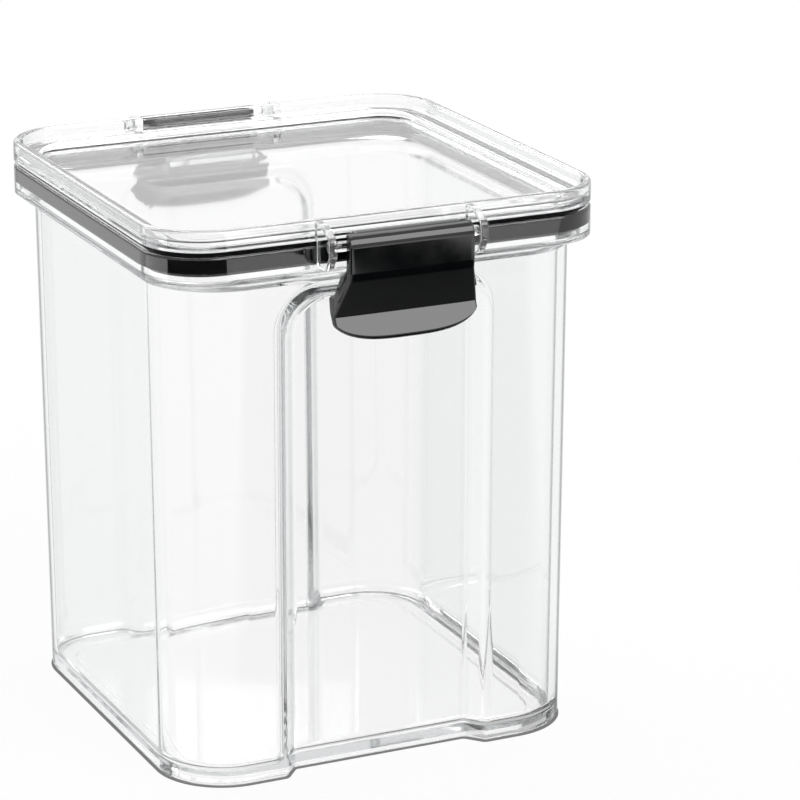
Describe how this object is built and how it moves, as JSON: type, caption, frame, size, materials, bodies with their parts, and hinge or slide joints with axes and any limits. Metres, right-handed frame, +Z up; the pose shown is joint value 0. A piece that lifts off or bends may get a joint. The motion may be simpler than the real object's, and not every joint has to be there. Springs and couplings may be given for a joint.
{
  "type": "airtight storage container",
  "caption": "Clear square food canister with a clear tray lid, a black silicone gasket and black swing latches that hook under catches on the collar.",
  "frame": {"origin": "middle of the base, on the surface that the container stands on", "axes": "+Z up, front latch towards -Y, rear latch towards +Y, +X to the right seen from the front"},
  "size_m": [0.11, 0.1294, 0.1331],
  "materials": {
    "jar_clear": "clear moulded styrene plastic, polished",
    "lid_clear": "clear moulded styrene plastic, polished",
    "gasket_silicone": "smooth black silicone",
    "latch_black": "glossy black moulded ABS"
  },
  "bodies": {
    "jar": {"jar": "jar_clear"},
    "lid": {"lid": "lid_clear", "gasket": "gasket_silicone"},
    "front_latch": {"front_latch": "latch_black"},
    "rear_latch": {"rear_latch": "latch_black"}
  },
  "joints": [
    {"name": "lid_lift", "type": "slide", "parent": "jar", "child": "lid", "axis": [0, 0, 1], "range_m": [0, 0.14]},
    {"name": "front_latch_swing", "type": "hinge", "parent": "lid", "child": "front_latch", "pos_m": [0, -0.061, 0.1282], "axis": [-1, 0, 0], "range_deg": [-5, 150]},
    {"name": "rear_latch_swing", "type": "hinge", "parent": "lid", "child": "rear_latch", "pos_m": [0, 0.061, 0.1282], "axis": [1, 0, 0], "range_deg": [-5, 150]}
  ]
}
